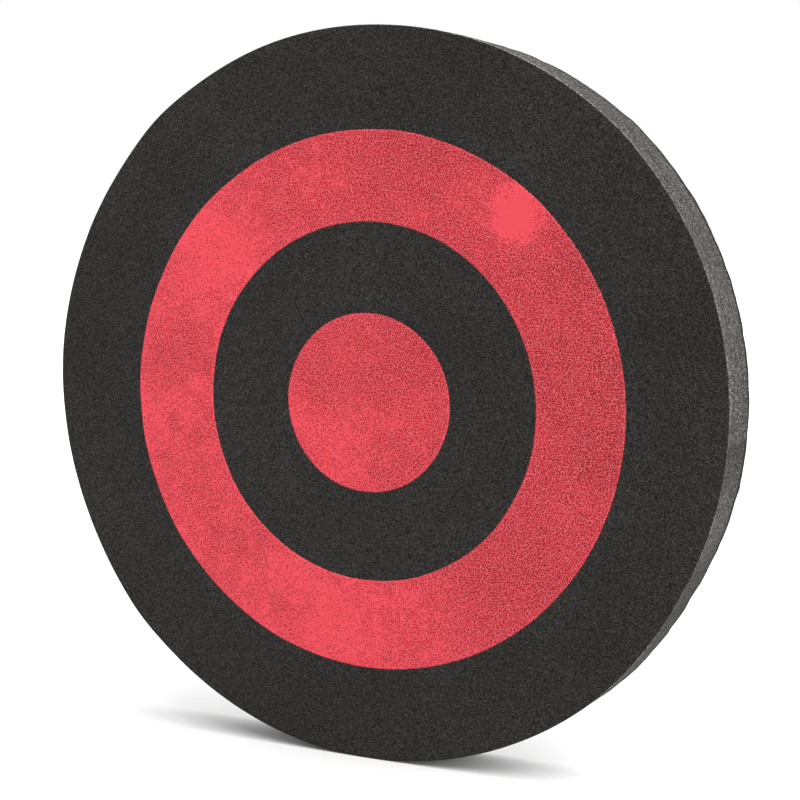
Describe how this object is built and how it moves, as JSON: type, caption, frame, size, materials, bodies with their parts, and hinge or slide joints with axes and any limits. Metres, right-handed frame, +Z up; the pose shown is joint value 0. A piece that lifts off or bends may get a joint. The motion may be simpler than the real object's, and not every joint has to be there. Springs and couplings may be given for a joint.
{
  "type": "foam throwing target",
  "caption": "Round slab of black closed-cell foam with a red painted ring and centre spot on its front face, for throwing and striking practice; it stands upright on its rim.",
  "frame": {"origin": "on the floor, under the middle of the rim, halfway through the disc's thickness", "axes": "+Z up, +Y along the disc's axis away from the painted face, +X to the right of someone who faces the painted face"},
  "size_m": [0.41, 0.0382, 0.4098],
  "materials": {
    "foam": "matte",
    "paint": "matte"
  },
  "bodies": {
    "root": {"foam_disc": "foam", "ring_paint": "paint", "spot_paint": "paint"}
  },
  "joints": []
}
